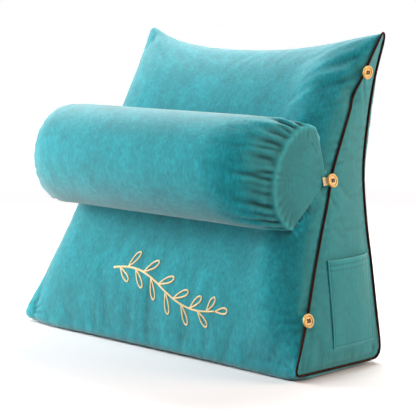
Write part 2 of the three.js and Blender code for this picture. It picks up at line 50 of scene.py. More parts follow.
MM = 0.001
SEAM_LINE = np.array([  # height and half width of the slope between its side seams, in mm
    [25, 296], [53, 291], [95, 282], [146, 269.5], [203, 257.5], [245, 249.5],
    [278, 240.5], [317, 237], [357, 234.5], [397, 233.5], [436, 237], [473, 242],
])
SHOULDER = np.array([  # height in mm, how proud the slope's right shoulder is, where, how wide
    [25, 0, 0.8, 0.1], [80, 4, 0.82, 0.1], [200, 6.5, 0.8, 0.11], [290, 7, 0.79, 0.12],
    [350, 8, 0.79, 0.13], [430, 8.5, 0.77, 0.14], [475, 4.5, 0.77, 0.13],
])
SLOPE_PULLS = [  # folds in the slope: from across and up, turn, length, depth, width, in mm
    (231, 452, -155, 50, 3.0, 7.0),
    (236, 432, -163, 70, -2.4, 7.5),
    (233, 414, -171, 64, 1.8, 8.0),
    (84, 458, -139, 30, 1.2, 5.0),
    (23, 454, -149, 36, 1.2, 5.5),
    (232, 407, -147, 38, 1.0, 4.5),
    (232, 391, -135, 32, 0.9, 4.5),
    (233, 375, -140, 26, 0.7, 4.0),
    (249, 244, -114, 28, 1.8, 4.2),
    (251, 237, -103, 30, 1.4, 4.2),
    (253, 226, -134, 24, 0.9, 4.0),
    (281, 88, 168, 74, 0.9, 6.0),
    (281, 81, 183, 60, 1.0, 5.5),
    (280, 74, 200, 50, 0.8, 5.0),
    (290, 18, 168, 80, 1.0, 4.6),
    (290, 20, 156, 66, 1.1, 4.6),
    (290, 24, 142, 52, 1.0, 4.4),
    (-236, 484, -22, 62, 2.2, 5.5),
    (-238, 478, -48, 50, 1.8, 5.0),
    (-292, 18, 12, 52, 1.6, 3.6),
    (-292, 22, 28, 46, 1.8, 3.8),
    (-290, 28, 50, 40, 1.5, 3.8),
]
SIDE_PULLS = [  # folds in the side gussets: from depth and up, turn, length, depth, width
    (-88, 16, 84, 70, 1.5, 3.2),
    (-80, 15, 78, 52, 1.3, 3.0),
    (-70, 14, 74, 34, 1.0, 2.8),
    (-40, 13, 82, 24, 0.9, 2.8),
    (30, 13, 96, 22, 0.9, 3.0),
    (84, 16, 104, 44, 1.4, 3.4),
    (-62, 84, 66, 48, 1.1, 4.0),
    (34, 268, 60, 44, 1.2, 4.2),
    (34, 256, 300, 40, 1.2, 4.2),
    (128, 424, 285, 60, 1.3, 4.2),
]
SWELL = 6.5 * MM  # the slope swells over its left cord and hides it
LOW_SWELL = (3 * MM, 105 * MM, 55 * MM)  # more round the bottom button: depth, height, reach
TIP_LIFT = (3.5 * MM, 18 * MM)  # it stands over the cord at the top left corner: lift, reach
BASE_BULGE = 11 * MM  # the filling's weight spreads the base out under the side seams
BULGE_HEIGHT = 9 * MM  # above this it doesn't show
BULGE_ACROSS = (238 * MM, 40 * MM)  # it starts this far off the middle and grows over this width
BULGE_ALONG = (82 * MM, 20 * MM)  # it ends this far to the front and back and fades over this
PUCKERS = 30  # short creases across each seam, from foot to head
PUCKER_FOOT = 22 * MM  # the height of the lowest
PUCKER_STEP = 15.3 * MM
PUCKER_LENGTHS = (12 * MM, 34 * MM)
PUCKER_DEPTHS = (0.35 * MM, 1.25 * MM)
PUCKER_WIDTHS = (2.4 * MM, 4.2 * MM)
PUCKER_SLANTS = (-0.4, 0.25)
TUG = (Vector((0.234, 0.107, 0.395)), 18 * MM, -4.5 * MM)  # the stuffing pulls the seam in here
SEWN_IN = 0.8 * MM  # cloth this near to the piping is in its seam
SEAM_HOLD = 5 * MM  # and cloth this near is held by it
STEPS = 20  # of the filling, until the cloth has settled
SLACK = 2 * MM  # the cover starts this far inside the shape that it fills out to
WRINKLED = 0.22  # the share of the cloth's wrinkles that the filling leaves unfilled
CLEARANCE = 0.25 * MM  # between the cover and what is sewn or leant on it
NEARBY = 8 * MM  # nothing presses deeper into the cover than this
PALEST = 0.8 * MM  # the painted highlight is brightest on a crest this proud, and the painted shade darkest in a hollow this deep


def take(piece):
    """Selects this piece alone and makes it the active one."""
    bpy.ops.object.select_all(action="DESELECT")
    piece.select_set(True)
    bpy.context.view_layer.objects.active = piece


def finish_with(piece, kind, **settings):
    """Adds a modifier and applies it."""
    take(piece)
    modifier = piece.modifiers.new(kind.title(), kind)
    for name, value in settings.items():
        setattr(modifier, name, value)
    bpy.ops.object.modifier_apply(modifier=modifier.name)


def new_object(name, data):
    """An object at the origin, unturned, for a mesh, a lamp or a camera."""
    made = bpy.data.objects.new(name, data)
    bpy.context.scene.collection.objects.link(made)
    return made


def copy_of_node(node, name):
    """A whole skin from a CAD node's loose triangles."""
    piece = new_object(name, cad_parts[node].data.copy())
    take(piece)
    bpy.ops.object.mode_set(mode="EDIT")
    bpy.ops.mesh.select_all(action="SELECT")
    bpy.ops.mesh.remove_doubles(threshold=0.02 * MM)
    bpy.ops.object.mode_set(mode="OBJECT")
    return piece


def edit_faces(piece, wanted):
    """Enters edit mode with only those faces selected whose normals this test picks."""
    take(piece)
    bpy.ops.object.mode_set(mode="EDIT")
    bpy.ops.mesh.select_all(action="DESELECT")
    bpy.ops.object.mode_set(mode="OBJECT")
    for face in piece.data.polygons:
        face.select = wanted(face.normal)
    bpy.ops.object.mode_set(mode="EDIT")


def dress(piece, finish, angle=None):
    """Shades a piece smooth, or only where it bends less than an angle, and gives its finish."""
    take(piece)
    if angle is None:
        bpy.ops.object.shade_smooth()
    else:
        bpy.ops.object.shade_smooth_by_angle(angle=math.radians(angle))
    piece.data.materials.clear()
    piece.data.materials.append(finish)


def points_of(piece):
    """The place of each vertex."""
    flat = np.empty(len(piece.data.vertices) * 3, np.float32)
    piece.data.vertices.foreach_get("co", flat)
    return flat.reshape(-1, 3).astype(float)


def normals_of(piece):
    """The way that each vertex faces."""
    flat = np.empty(len(piece.data.vertices) * 3, np.float32)
    piece.data.vertex_normals.foreach_get("vector", flat)
    return flat.reshape(-1, 3).astype(float)


def put_points(piece, points):
    """Moves the vertices to these places."""
    piece.data.vertices.foreach_set("co", points.astype(np.float32).ravel())
    piece.data.update()


def edges_of(piece):
    """The two vertices of each edge."""
    flat = np.empty(len(piece.data.edges) * 2, np.int32)
    piece.data.edges.foreach_get("vertices", flat)
    return flat.reshape(-1, 2)


def store(piece, name, values, domain="POINT"):
    """Keeps one number for each vertex or edge as an attribute of the mesh."""
    attribute = piece.data.attributes.new(name, "FLOAT", domain)
    attribute.data.foreach_set("value", values.astype(np.float32))


def spread(values, edges, rounds):
    """Values at the vertices, each averaged with its neighbours this many times."""
    first, second = edges.T
    count = np.bincount(edges.ravel(), minlength=len(values))
    columns = list(values.reshape(len(values), -1).T)
    for _ in range(rounds):
        for k, column in enumerate(columns):
            total = np.bincount(first, column[second], len(values))
            total += np.bincount(second, column[first], len(values))
            columns[k] = 0.5 * column + 0.5 * total / count
    return np.stack(columns, axis=1).reshape(values.shape)


def bell(values, middle, reach):
    """One at the middle, about a third at this reach on either side, and then nothing."""
    return np.exp(-(((values - middle) / reach) ** 2))


def eased(share):
    """A share from 0 to 1 that starts and ends softly."""
    return share**2 * (3 - 2 * share)


def valley(sideways, place, height):
    """Across a fold: a trough one deep, and a soft ridge of this place and height beside it."""
    return height * bell(sideways, place, 1) - bell(sideways, 0, 1)


def skin_of(node):
    """A tree that finds the nearest place on a CAD node."""
    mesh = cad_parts[node].data
    corners = [v.co.copy() for v in mesh.vertices]
    return BVHTree.FromPolygons(corners, [list(p.vertices) for p in mesh.polygons])


def distance_to(points, skins, reach):
    """How far each point lies from the nearest of some skins, and reach where none is nearer."""
    found = np.full(len(points), reach)
    for skin in skins:
        for i, point in enumerate(points):
            hit = skin.find_nearest(Vector(point), reach)
            if hit[0] is not None:
                found[i] = min(found[i], hit[3])
    return found


def freedom(points, skins):
    """How far cloth may move: not at 1 mm from what touches it, and freely at 9 mm."""
    return np.clip(distance_to(points, skins, 9 * MM) / (8 * MM) - 0.12, 0, 1)


def sewn_cover(node, name, seam_of):
    """A CAD solid's skin in smooth quads, whose seams stay sharp and keep their corners."""
    cover = copy_of_node(node, name)
    bpy.ops.object.mode_set(mode="EDIT")
    bpy.ops.mesh.select_all(action="SELECT")
    bpy.ops.mesh.tris_convert_to_quads(
        face_threshold=math.radians(60), shape_threshold=math.radians(80)
    )
    bpy.ops.object.mode_set(mode="OBJECT")
    points, edges = points_of(cover), edges_of(cover)
    on_seam = seam_of(points)
    sewn = on_seam[edges].all(1)
    heading = np.zeros((len(points), 3))
    for a, b in edges[sewn]:
        run = (points[b] - points[a]) / np.linalg.norm(points[b] - points[a])
        heading[a] += run
        heading[b] -= run
    turns = np.linalg.norm(heading, axis=1) > 0.4  # the seam bends by 23 degrees or more
    store(cover, "crease_edge", sewn, "EDGE")
    store(cover, "crease_vert", on_seam & turns)
    finish_with(cover, "SUBSURF", levels=2, render_levels=2)
    for extra in ("crease_edge", "crease_vert"):
        if extra in cover.data.attributes:
            cover.data.attributes.remove(cover.data.attributes[extra])
    return cover


def keep_clear(points, skins):
    """The points moved out of what touches the cover, so that a gap stays."""
    moved = points.copy()
    for skin in skins:
        for i, point in enumerate(moved):
            place, normal, _, _ = skin.find_nearest(Vector(point), NEARBY)
            if place is not None and (Vector(point) - place).dot(normal) < CLEARANCE:
                moved[i] = place + normal * CLEARANCE
    return moved


def stuff(cover, held, spare, pressure, cap):
    """Where the cloth of a stuffed cover folds: it is a little longer than its seams let it lie."""
    at_rest = points_of(cover)
    group = cover.vertex_groups.new(name="seams")
    for i in np.flatnonzero(held > 0):
        group.add([int(i)], float(held[i]), "REPLACE")
    put_points(cover, at_rest - normals_of(cover) * SLACK * (1 - held[:, None]))
    filling = cover.modifiers.new("Filling", "CLOTH")
    cloth = filling.settings
    cloth.quality = 5
    cloth.mass = 0.3
    cloth.tension_stiffness = 20
    cloth.compression_stiffness = 20
    cloth.shear_stiffness = 8
    cloth.bending_stiffness = 0.4
    cloth.vertex_group_mass = "seams"
    cloth.use_pressure = True
    cloth.uniform_pressure_force = pressure
    cloth.shrink_min = -spare
    cloth.effector_weights.gravity = 0
    filling.point_cache.frame_start = 1
    filling.point_cache.frame_end = STEPS
    for step in range(1, STEPS + 1):
        bpy.context.scene.frame_set(step)
    take(cover)
    bpy.ops.object.modifier_apply(modifier=filling.name)
    bpy.context.scene.frame_set(1)
    moved = points_of(cover) - at_rest
    put_points(cover, at_rest)
    length = np.linalg.norm(moved, axis=1, keepdims=True)
    return moved * np.minimum(1, cap / np.maximum(length, 1e-9))


def fold_at(across, up, fold):
    """How far a place lies in or out, by one pulled fold: a valley with a soft ridge beside."""
    start_across, start_up, turn, length, depth, width = fold
    turn = math.radians(turn)
    dx, dz = across - start_across * MM, up - start_up * MM
    along = (dx * math.cos(turn) + dz * math.sin(turn)) / (length * MM)
    sideways = np.abs(dz * math.cos(turn) - dx * math.sin(turn)) / (width * MM)
    sideways = sideways / (0.6 + 0.8 * np.clip(along, 0, 1))  # it widens as it runs out
    fading = np.clip(along * 7, 0, 1) * np.clip(1 - along, 0, 1) ** 1.2
    return depth * MM * fading * valley(sideways, 1.9, 0.4)


def puckers_at(from_seam, along_seam, seed):
    """How far a place lies in or out, by the short creases that run in from a seam."""
    chance = np.random.default_rng(seed)
    lift = np.zeros(len(from_seam))
    for k in range(PUCKERS):
        place = PUCKER_FOOT + PUCKER_STEP * (k + 0.3 * chance.uniform(-1, 1))
        length = chance.uniform(*PUCKER_LENGTHS)
        depth = chance.uniform(*PUCKER_DEPTHS)
        width = chance.uniform(*PUCKER_WIDTHS)
        slant = chance.uniform(*PUCKER_SLANTS)
        sideways = np.abs(along_seam - place - slant * from_seam) / width
        fading = np.clip(1 - from_seam / length, 0, 1) * np.clip(from_seam / (3 * MM), 0, 1)
        lift += depth * fading * valley(sideways, 1.8, 0.4)
    return lift


def panels_at(normals):
    """How far each place belongs to the slope, to the back and to the side gussets."""
    slope = np.clip(-normals[:, 1] * 1.6 - 0.3, 0, 1)
    rear = np.clip(normals[:, 1] * 1.6 - 0.3, 0, 1)
    flank = np.clip(np.abs(normals[:, 0]) * 2 - 0.9, 0, 1)
    return slope, rear, flank


def tugged(points):
    """The points moved where the front seam is pulled in below its top button."""
    centre, reach, pull = TUG
    moved = points.copy()
    moved[:, 0] += pull * bell(np.linalg.norm(points - np.array(centre), axis=1), 0, reach)
    return moved


def crests_of(piece, paleness=0):
    """Stores how far each place stands out of the cloth round it, which paints shade into its
    hollows and highlight on its crests, shifted by the paleness given.
    """
    points, normals, edges = points_of(piece), normals_of(piece), edges_of(piece)
    proud = np.einsum("ij,ij->i", points - spread(points, edges, 8), normals)
    crest = np.clip(spread(proud, edges, 2) / PALEST, -1, 1)
    store(piece, "crest", np.clip(0.5 + 0.5 * crest + paleness, 0, 1))


def nap_and_warm_light_of(piece, everywhere=False):
    """Stores which panels are cut across the pile, those within 30 degrees of facing sideways, to be
    greyed: partly the nap's own tone, partly painted warm light.
    """
    sideways = np.clip((np.abs(normals_of(piece)[:, 0]) - 0.72) / 0.14, 0, 1)
    store(piece, "across", np.maximum(sideways, everywhere))


def linear(code):
    """An sRGB hex colour as the linear one that a shader takes."""
    parts = [int(code[i : i + 2], 16) / 255 for i in (1, 3, 5)]
    return [c / 12.92 if c <= 0.04045 else ((c + 0.055) / 1.055) ** 2.4 for c in parts] + [1]


def add_node(finish, kind, settings, links):
    """Adds a node to a material: settings by input or property name, links by input name."""
    node = finish.node_tree.nodes.new(kind)
    for name, value in settings.items():
        if name == "stops":
            node.color_ramp.elements[0].position, node.color_ramp.elements[0].color = value[0]
            node.color_ramp.elements[1].position, node.color_ramp.elements[1].color = value[-1]
            for place, colour in value[1:-1]:
                node.color_ramp.elements.new(place).color = colour
        elif isinstance(name, int) or name in node.inputs:
            node.inputs[name].default_value = value
        else:
            setattr(node, name, value)
    for name, (source, output) in links.items():
        finish.node_tree.links.new(source.outputs[output], node.inputs[name])
    return node


def new_finish(name):
    """An empty material, with the piece's own coordinates for its patterns."""
    finish = bpy.data.materials.new(name)
    finish.use_nodes = True
    finish.node_tree.nodes.clear()
    places = add_node(finish, "ShaderNodeTexCoord", {}, {})
    return finish, places


# Cotton-backed polyester velvet, its cut pile about 1.5 mm long and soft to the light. The pile
# lies in banks of 70 mm and drifts of 17 mm, brushed in upright strokes of 4 by 10 mm. Its colour
# is painted darker in folds and hollows as painted shade, and paler on crests as painted highlight.
# Its tufts are drawn 1 mm wide, coarser than they are, to show.
velvet, places = new_finish("teal short-pile velvet")
stretch = add_node(
    velvet, "ShaderNodeMapping", {"Scale": (1, 1, 0.4)}, {"Vector": (places, "Object")}
)
banks = add_node(
    velvet,
    "ShaderNodeTexNoise",
    {"Scale": 14, "Detail": 2, "Roughness": 0.5},
    {"Vector": (stretch, "Vector")},
)
drifts = add_node(
    velvet,
    "ShaderNodeTexNoise",
    {"Scale": 60, "Detail": 3, "Roughness": 0.6},
    {"Vector": (stretch, "Vector")},
)
strokes = add_node(
    velvet,
    "ShaderNodeTexNoise",
    {"Scale": 260, "Detail": 3, "Roughness": 0.7},
    {"Vector": (stretch, "Vector")},
)
pile = add_node(
    velvet,
    "ShaderNodeTexNoise",
    {"Scale": 1100, "Detail": 1, "Roughness": 0.5},
    {"Vector": (places, "Object")},
)
broad = add_node(
    velvet, "ShaderNodeMath", {"operation": "MULTIPLY", 1: 0.22}, {0: (banks, "Fac")}
)
brushed = add_node(
    velvet,
    "ShaderNodeMath",
    {"operation": "MULTIPLY_ADD", 1: 0.28},
    {0: (drifts, "Fac"), 2: (broad, "Value")},
)
mottled = add_node(
    velvet,
    "ShaderNodeMath",
    {"operation": "MULTIPLY_ADD", 1: 0.5},
    {0: (strokes, "Fac"), 2: (brushed, "Value")},
)
nap = add_node(
    velvet,
    "ShaderNodeValToRGB",
    {
        "stops": [
            (0.38, linear("#10909B")),
            (0.5, linear("#16A3B0")),
            (0.62, linear("#20B9C7")),
        ]
    },
    {"Fac": (mottled, "Value")},
)
# Painted shade and painted highlight: the colour is multiplied by grey in hollows and folds, and is
# lightest on crests.
crest = add_node(velvet, "ShaderNodeAttribute", {"attribute_name": "crest"}, {})
folds = add_node(
    velvet,
    "ShaderNodeValToRGB",
    {
        "stops": [
            (0.06, linear("#747D80")),
            (0.5, linear("#D4D4D4")),
            (0.95, linear("#FFFFFF")),
        ]
    },
    {"Fac": (crest, "Fac")},
)
# Panels cut across the pile are greyed: partly their own tone, partly painted warm light on the
# faces turned to the side.
across = add_node(velvet, "ShaderNodeAttribute", {"attribute_name": "across"}, {})
share = add_node(
    velvet, "ShaderNodeMath", {"operation": "MULTIPLY", 1: 0.55}, {0: (across, "Fac")}
)
nap_tone_and_painted_warm_light = add_node(
    velvet,
    "ShaderNodeMixRGB",
    {"Color2": linear("#46A3A6")},
    {"Fac": (share, "Value"), "Color1": (nap, "Color")},
)
# The pile's colour times the painted shade and painted highlight.
pile_colour_and_painted_shade = add_node(
    velvet,
    "ShaderNodeMixRGB",
    {"blend_type": "MULTIPLY", "Fac": 1.0},
    {"Color1": (nap_tone_and_painted_warm_light, "Color"), "Color2": (folds, "Color")},
)
relief = add_node(
    velvet,
    "ShaderNodeMath",
    {"operation": "MULTIPLY_ADD", 1: 0.35},
    {0: (pile, "Fac"), 2: (strokes, "Fac")},
)
bump = add_node(
    velvet, "ShaderNodeBump", {"Strength": 0.35, "Distance": 0.8 * MM}, {"Height": (relief, "Value")}
)
shader = add_node(
    velvet,
    "ShaderNodeBsdfPrincipled",
    {
        "Roughness": 0.9,
        "Specular IOR Level": 0.15,
        "Sheen Weight": 0.42,
        "Sheen Roughness": 0.5,
        "Sheen Tint": linear("#FFF6F3"),
    },
    {"Base Color": (pile_colour_and_painted_shade, "Color"), "Normal": (bump, "Normal")},
)
add_node(velvet, "ShaderNodeOutputMaterial", {}, {"Surface": (shader, "BSDF")})


piping_skins = [skin_of("piping_right"), skin_of("piping_left")]
wedge = sewn_cover(
    "wedge_cushion",
    "wedge_cover",
    lambda points: distance_to(points, piping_skins, 9 * MM) < SEWN_IN,
)
points, normals = points_of(wedge), normals_of(wedge)
seams = distance_to(points, piping_skins, 60 * MM)
held = np.clip(1 - (seams - SEAM_HOLD) / (2 * MM), 0, 1)
held = np.maximum(held, (normals[:, 2] < -0.8) * (points[:, 2] < 6 * MM))  # the flat base
leant_on = ["neck_roll", "pocket", "piping_right", "piping_left", "loop_right", "loop_left"]
for part in ("button", "thread"):
    for side in ("right", "left"):
        leant_on += [f"{part}_{side}_{place}" for place in ("bottom", "middle", "top")]
beside = [skin_of(node) for node in leant_on]
moved = stuff(wedge, held, spare=0.02, pressure=4, cap=9 * MM)
ripples = WRINKLED * (moved - spread(moved, edges_of(wedge), 40))

slope, _, _ = panels_at(normals)
half = np.interp(points[:, 2], SEAM_LINE[:, 0] * MM, SEAM_LINE[:, 1] * MM)
proud, where, wide = (
    np.interp(points[:, 2], SHOULDER[:, 0] * MM, SHOULDER[:, k]) for k in (1, 2, 3)
)
shaped = proud * MM * bell(points[:, 0] / half, where, wide) * slope
shaped = (ripples + normals * shaped[:, None]) * freedom(points, beside)[:, None]
put_points(wedge, points + shaped)
edit_faces(wedge, lambda normal: normal.y < -0.25 or abs(normal.x) > 0.6)
bpy.ops.mesh.subdivide(number_cuts=1, smoothness=0.9)
bpy.ops.object.mode_set(mode="OBJECT")

points, normals = points_of(wedge), normals_of(wedge)
slope, rear, flank = panels_at(normals)
seams = distance_to(points, piping_skins, 40 * MM)
folds = sum(fold_at(points[:, 0], points[:, 2], fold) for fold in SLOPE_PULLS) * slope
folds += sum(fold_at(points[:, 1], points[:, 2], fold) for fold in SIDE_PULLS) * flank
folds += puckers_at(seams, points[:, 2], 3) * slope * (points[:, 0] > 0)
folds += puckers_at(seams, points[:, 2], 5) * slope * (points[:, 0] < 0)
folds += puckers_at(seams, points[:, 2], 8) * rear
folds += 0.5 * puckers_at(seams, points[:, 2], 11) * flank
near_left = np.clip(seams / (3 * MM), 0, 1) * np.clip(1.4 - seams / (22 * MM), 0, 1)
swell = SWELL + LOW_SWELL[0] * bell(points[:, 2], *LOW_SWELL[1:])
folds += swell * near_left * slope * (points[:, 0] < 0)
folds *= freedom(points, beside[:2]) * np.clip(seams / (2 * MM) - 0.5, 0, 1)
points = points + normals * folds[:, None]
under = np.clip(1 - points[:, 2] / BULGE_HEIGHT, 0, 1) ** 0.7
outer = np.clip((np.abs(points[:, 0]) - BULGE_ACROSS[0]) / BULGE_ACROSS[1], 0, 1)
outer *= np.clip((BULGE_ALONG[0] - np.abs(points[:, 1])) / BULGE_ALONG[1], 0, 1)
points[:, 0] += np.sign(points[:, 0]) * BASE_BULGE * under * eased(outer)
tip = points[np.argmax(points[:, 2] * (points[:, 0] < 0))]
near_tip = bell(np.linalg.norm(points - tip, axis=1), 0, TIP_LIFT[1])
points[:, 2] += TIP_LIFT[0] * near_tip * np.clip(seams / (2.5 * MM) - 0.3, 0, 1)
for _ in range(3):  # the push is spread and made up for, so that no edge of it shows
    push = keep_clear(points, beside) - points
    points += 1.6 * spread(push, edges_of(wedge), 12)
points = keep_clear(points, beside)
put_points(wedge, tugged(points))
# Painted shade in the cover's hollows and folds, and painted highlight on its crests.
crests_of(wedge)
nap_and_warm_light_of(wedge)
dress(wedge, velvet)
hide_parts("wedge_cushion")
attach(wedge, "root")


# ---------------------------------------------------------------------------
# Piping. A cotton cord in a bias strip of dark brown twill, sewn into the seam round each side
# gusset, so it stands proud as one thin round line.
# ---------------------------------------------------------------------------

ROUNDER = 0.18 * MM  # the twill strip round the cord
SNUG = 0.15 * MM  # between the cord and the cover

# Cotton twill, dull and worn paler on its ribs. These are drawn 1.5 mm apart, coarser than they
# are, so that they show.
twill, places = new_finish("dark brown twill piping")
ribs = add_node(
    twill,
    "ShaderNodeTexWave",
    {"Scale": 240, "Distortion": 1.5, "Detail": 1, "bands_direction": "DIAGONAL"},
    {"Vector": (places, "Object")},
)
fade = add_node(
    twill,
    "ShaderNodeTexNoise",
    {"Scale": 60, "Detail": 3},
    {"Vector": (places, "Object")},
)
paleness = add_node(
    twill,
    "ShaderNodeMath",
    {"operation": "MULTIPLY_ADD", 1: 0.35},
    {0: (ribs, "Fac"), 2: (fade, "Fac")},
)
browns = add_node(
    twill,
    "ShaderNodeValToRGB",
    {
        "stops": [
            (0.4, linear("#180804")),
            (0.65, linear("#2B1008")),
            (0.9, linear("#45200F")),
        ]
    },
    {"Fac": (paleness, "Value")},
)
bump = add_node(
    twill, "ShaderNodeBump", {"Strength": 0.5, "Distance": 0.2 * MM}, {"Height": (ribs, "Fac")}
)
shader = add_node(
    twill,
    "ShaderNodeBsdfPrincipled",
    {
        "Roughness": 0.75,
        "Specular IOR Level": 0.16,
        "Sheen Weight": 0.03,
        "Sheen Roughness": 0.4,
        "Sheen Tint": linear("#9A6A55"),
    },
    {"Base Color": (browns, "Color"), "Normal": (bump, "Normal")},
)
add_node(twill, "ShaderNodeOutputMaterial", {}, {"Surface": (shader, "BSDF")})

cover_corners = [Vector(p) for p in points_of(wedge)]
cover_faces = [list(p.vertices) for p in wedge.data.polygons]
cover_skin = BVHTree.FromPolygons(cover_corners, cover_faces)
for side in ("right", "left"):
    piping = copy_of_node(f"piping_{side}", f"piping_cord_{side}")
    finish_with(piping, "SUBSURF", levels=1, render_levels=1)
    points = tugged(points_of(piping)) + ROUNDER * normals_of(piping)
    gaps = np.array([cover_skin.find_nearest(Vector(p))[0] - Vector(p) for p in points])
    lengths = np.linalg.norm(gaps, axis=1)
    tree = KDTree(len(points))
    for i, point in enumerate(points):
        tree.insert(point, i)
    tree.balance()
    snug = np.zeros_like(points)
    for i, point in enumerate(points):
        ring = [found[1] for found in tree.find_range(point, 5 * MM)]  # its whole section
        nearest = min(ring, key=lambda j: lengths[j])
        spare = max(lengths[nearest] - SNUG, 0)
        snug[i] = gaps[nearest] / max(lengths[nearest], 1e-9) * spare
    put_points(piping, points + spread(snug, edges_of(piping), 8))
    dress(piping, twill)
    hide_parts(f"piping_{side}")
    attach(piping, "root")


# ---------------------------------------------------------------------------
# Side pocket. A patch of the same velvet on the right gusset, turned under and topstitched on
# three sides, with a double hem that stands a little open at its mouth.
# ---------------------------------------------------------------------------

POCKET_FOOT = (-15.5 * MM, 81 * MM, 37 * MM)  # front, back and height of its foot
POCKET_MOUTH = (5 * MM, 109 * MM, 160.5 * MM)  # and of its mouth
POCKET_SPAN = (98 * MM, 123 * MM)  # across and up, as its stitches are spaced
POCKET_CLOTH = 1.9 * MM
EDGE_FOLD = 3.2 * MM  # the turned edge outside the topstitching
HEM_LINES = (7.5 * MM, 14.5 * MM)  # the hem's two lines of stitches below the mouth

pocket_skin = skin_of("pocket")
bpy.ops.object.select_all(action="DESELECT")
bpy.ops.mesh.primitive_grid_add(x_subdivisions=84, y_subdivisions=104, size=1)
pocket = bpy.context.object
pocket.name = "pocket_patch"
across, up = points_of(pocket)[:, 0] + 0.5, points_of(pocket)[:, 1] + 0.5


def on_pocket(across, up, proud=0.0):
    """A place on the pocket's outer face, from its front edge to its back, foot to mouth."""
    front, back, height = (a + (b - a) * up for a, b in zip(POCKET_FOOT, POCKET_MOUTH))
    rim = 0.3 * MM  # so that no ray slips past the solid's edge
    y = front + min(max(across * (back - front), rim), back - front - rim)
    z = min(max(height, POCKET_FOOT[2] + rim), POCKET_MOUTH[2] - rim)
    hit = pocket_skin.ray_cast(Vector((0.4, y, z)), Vector((-1, 0, 0)))
    return np.array([hit[0].x + proud, y, z])


def pocket_relief(across, up):
    """How far the patch stands in from its CAD face: folded edges, stitch lines, hem."""
    height = POCKET_MOUTH[2] - POCKET_FOOT[2]
    edge = min(across * POCKET_SPAN[0], (1 - across) * POCKET_SPAN[0], up * height)
    from_mouth = (1 - up) * height
    rounded = 1.1 * MM * math.exp(-edge / (0.9 * MM))
    rounded += 0.9 * MM * math.exp(-from_mouth / (0.8 * MM))
    stitched = 0.6 * MM * bell(edge, EDGE_FOLD, 0.9 * MM)
    flat = 0.45 * MM if edge > EDGE_FOLD else 0
    for line in HEM_LINES:
        stitched += 0.4 * MM * bell(from_mouth, line, 0.8 * MM)
    below = 0.35 * MM if from_mouth > HEM_LINES[1] else 0
    wave = 0.35 * MM * math.sin(9 * across + 5 * up) * math.sin(6 * up - 2 * across)
    return -(rounded + stitched + flat + below + 0.35 * MM - wave)


shaped = [on_pocket(u, v, pocket_relief(u, v)) for u, v in zip(across, up)]
put_points(pocket, np.array(shaped))
take(pocket)
bpy.ops.object.mode_set(mode="EDIT")
bpy.ops.mesh.select_all(action="SELECT")
bpy.ops.mesh.normals_make_consistent(inside=False)
bpy.ops.object.mode_set(mode="OBJECT")
if normals_of(pocket)[:, 0].mean() < 0:
    pocket.data.flip_normals()
finish_with(pocket, "SOLIDIFY", thickness=POCKET_CLOTH, offset=-1)
edge = np.minimum(np.minimum(across, 1 - across) * POCKET_SPAN[0], up * POCKET_SPAN[1])
from_mouth = (1 - up) * POCKET_SPAN[1]
paleness = 0.09 + 0.4 * bell(np.minimum(edge, from_mouth), 0, 1.3 * MM)  # painted highlight along its edges, and paler all over as painted light
# Painted shade in the stitch groove and along the hem's stitch lines, with a painted highlight
# beside each hem line.
paleness -= 0.15 * bell(edge, EDGE_FOLD, 1 * MM)
for line in HEM_LINES:
    paleness -= 0.16 * bell(from_mouth, line, 0.9 * MM)
    paleness += 0.1 * bell(from_mouth, line - 2.2 * MM, 1 * MM)
crests_of(pocket, np.tile(paleness, 2))
nap_and_warm_light_of(pocket, everywhere=True)
dress(pocket, velvet)
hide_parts("pocket")
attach(pocket, "root")


# ---------------------------------------------------------------------------
# Neck roll. A velvet tube gathered on to a round panel at each end and stuffed until it is
# firm. The gathers run in from both end seams, deep beside the seam and gone after 50 mm.
# ---------------------------------------------------------------------------

ROLL_ENDS = {"right": 236 * MM, "left": -246 * MM}
ROLL_SECTIONS = np.array([  # across, then the middle, half depth and half height, in mm
    [-246, -43, 281, 55, 71],
    [-219, -62, 288, 73, 79.5],
    [-184, -69, 290.5, 76, 80],
    [0, -74, 291, 76, 80],
    [160, -67, 289.5, 76, 80.5],
    [198, -58, 287.5, 72, 80.5],
    [221, -43, 284, 61, 80],
    [236, -23, 279, 48, 77],
])
FLAT_END = 0.05 * MM  # an end seam and its panel lie in one plane, within this
GATHERS = 27
GATHER_LENGTHS = (16 * MM, 50 * MM)
GATHER_DEPTHS = (0.8 * MM, 4.1 * MM)
GATHER_WIDTHS = (2.6 * MM, 5.4 * MM)
GATHER_STARTS = (0, 3 * MM)  # from the seam
GATHER_SLANTS = (-0.25, 0.25)
LEFT_SHARE = 0.6  # the left end is gathered less deep
HOLLOW = (0.9 * MM, 11 * MM, 7 * MM)  # the cloth is drawn in beside its seam: depth, where, reach
SEAM_EDGE = (0.3 * MM, 1.4 * MM)  # the seam itself stands a little proud: height and reach
CAD_GATHERS = (3 * MM, 60 * MM)  # the depth and length of the CAD's even gathers
OVER_SEAM = 0.45  # the share of a gather's depth that shows on the end panel
SOFTENED = 0.6  # the share of the CAD's even gathers that is filled out again

